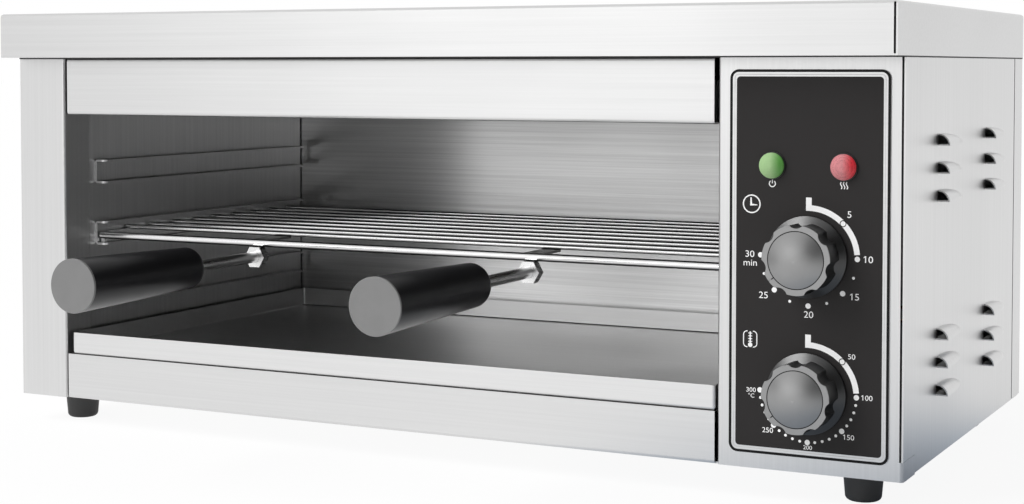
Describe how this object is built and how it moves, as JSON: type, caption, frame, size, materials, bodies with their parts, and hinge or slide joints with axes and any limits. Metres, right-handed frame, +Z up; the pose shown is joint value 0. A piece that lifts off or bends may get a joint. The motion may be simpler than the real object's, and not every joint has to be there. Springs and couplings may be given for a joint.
{
  "type": "salamander grill",
  "caption": "Open-front countertop salamander grill: folded steel cabinet, sliding wire rack with bar handles, crumb tray, louvred side, control panel with dials and pilot lamps.",
  "frame": {"origin": "middle of the whole part's box in plan, at the height of the counter the feet stand on", "axes": "+X to the right seen from the front, +Y to the back, +Z up; the open front faces -Y"},
  "size_m": [0.618, 0.4736, 0.2764],
  "materials": {
    "stainless": "brushed stainless sheet",
    "bright_wire": "bright wire",
    "plated_steel": "zinc plated",
    "element_sheath": "dull oxidised tube",
    "copper": "drawn tube",
    "grip_black": "moulded heat-resistant plastic",
    "knob_black": "moulded",
    "cap_grey": "smooth",
    "knob_grey": "metallic grey",
    "label": "printed satin",
    "lamp_barrel": "moulded",
    "lens_green": "translucent",
    "lens_red": "translucent",
    "case_grey": "moulded",
    "terminal": "moulded",
    "gland": "moulded",
    "foot_rubber": "moulded"
  },
  "bodies": {
    "cabinet": {"top_cover": "stainless", "left_side_panel": "stainless", "right_side_panel": "stainless", "back_panel": "stainless", "base_pan": "stainless", "upper_fascia": "stainless", "control_front_panel": "stainless", "chamber_left_wall": "stainless", "chamber_partition": "stainless", "chamber_back_wall": "stainless", "chamber_ceiling": "stainless", "left_rack_guides": "stainless", "right_rack_guides": "stainless", "left_tray_runner": "stainless", "right_tray_runner": "stainless", "element_hangers": "stainless", "bulb_clips": "stainless", "element_collars": "plated_steel", "element_terminals": "plated_steel", "foot_screws": "plated_steel", "cover_screws": "plated_steel", "front_heating_element": "element_sheath", "rear_heating_element": "element_sheath", "thermostat_bulb": "copper", "thermostat_capillary": "copper", "control_label": "label", "lamp_barrels": "lamp_barrel", "power_lamp_lens": "lens_green", "heat_lamp_lens": "lens_red", "timer_body": "case_grey", "thermostat_body": "case_grey", "terminal_block": "terminal", "cable_gland": "gland", "gland_nut": "gland", "front_left_foot": "foot_rubber", "front_right_foot": "foot_rubber", "rear_left_foot": "foot_rubber", "rear_right_foot": "foot_rubber", "rear_corner_strips": "foot_rubber"},
    "rack": {"wire_rack": "bright_wire", "handle_straps": "stainless", "handle_studs": "plated_steel", "handle_nuts": "plated_steel", "left_handle_grip": "grip_black", "right_handle_grip": "grip_black", "left_grip_end_cap": "cap_grey", "right_grip_end_cap": "cap_grey"},
    "tray": {"crumb_tray": "stainless"},
    "timer_dial": {"timer_shaft": "plated_steel", "timer_knob": "knob_black", "timer_knob_cap": "knob_grey"},
    "thermostat_dial": {"thermostat_shaft": "plated_steel", "thermostat_knob": "knob_black", "thermostat_knob_cap": "knob_grey"}
  },
  "joints": [
    {"name": "rack_slide", "type": "slide", "parent": "cabinet", "child": "rack", "axis": [0, -1, 0], "range_m": [0, 0.2]},
    {"name": "tray_slide", "type": "slide", "parent": "cabinet", "child": "tray", "axis": [0, -1, 0], "range_m": [0, 0.2]},
    {"name": "timer_knob_turn", "type": "hinge", "parent": "cabinet", "child": "timer_dial", "pos_m": [0.24865, -0.0858, 0.1372], "axis": [0, 1, 0], "range_deg": [-231.4, 38.6]},
    {"name": "thermostat_knob_turn", "type": "hinge", "parent": "cabinet", "child": "thermostat_dial", "pos_m": [0.24865, -0.0858, 0.062], "axis": [0, 1, 0], "range_deg": [-231.4, 38.6]}
  ]
}
